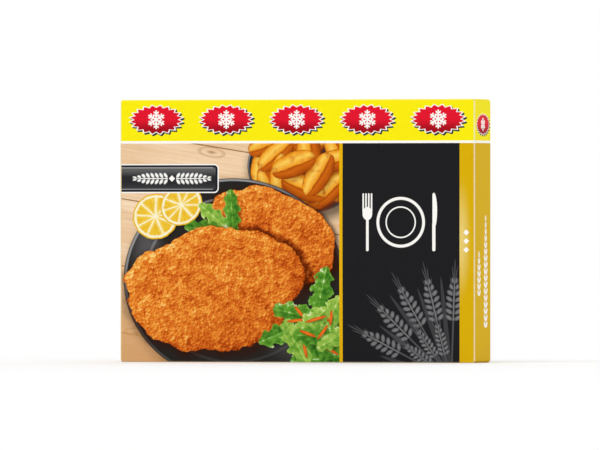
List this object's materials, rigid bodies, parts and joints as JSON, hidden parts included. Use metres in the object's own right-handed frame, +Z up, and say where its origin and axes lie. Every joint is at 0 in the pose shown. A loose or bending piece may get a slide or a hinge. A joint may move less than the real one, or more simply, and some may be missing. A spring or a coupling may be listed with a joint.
{
  "type": "frozen food carton",
  "caption": "Shut folding carton for frozen breaded cutlets, standing upright, with glued overlapping end flaps and front and back panels that bow slightly outwards.",
  "frame": {"origin": "centre of the footprint, on the surface that the carton stands on", "axes": "+X along the front panel, to the right as seen from the front, +Y from the front panel to the back panel, +Z up"},
  "size_m": [0.258, 0.0396, 0.182],
  "materials": {
    "printed_board": "printed and varnished cartonboard, satin"
  },
  "bodies": {
    "root": {"carton": "printed_board"}
  },
  "joints": []
}
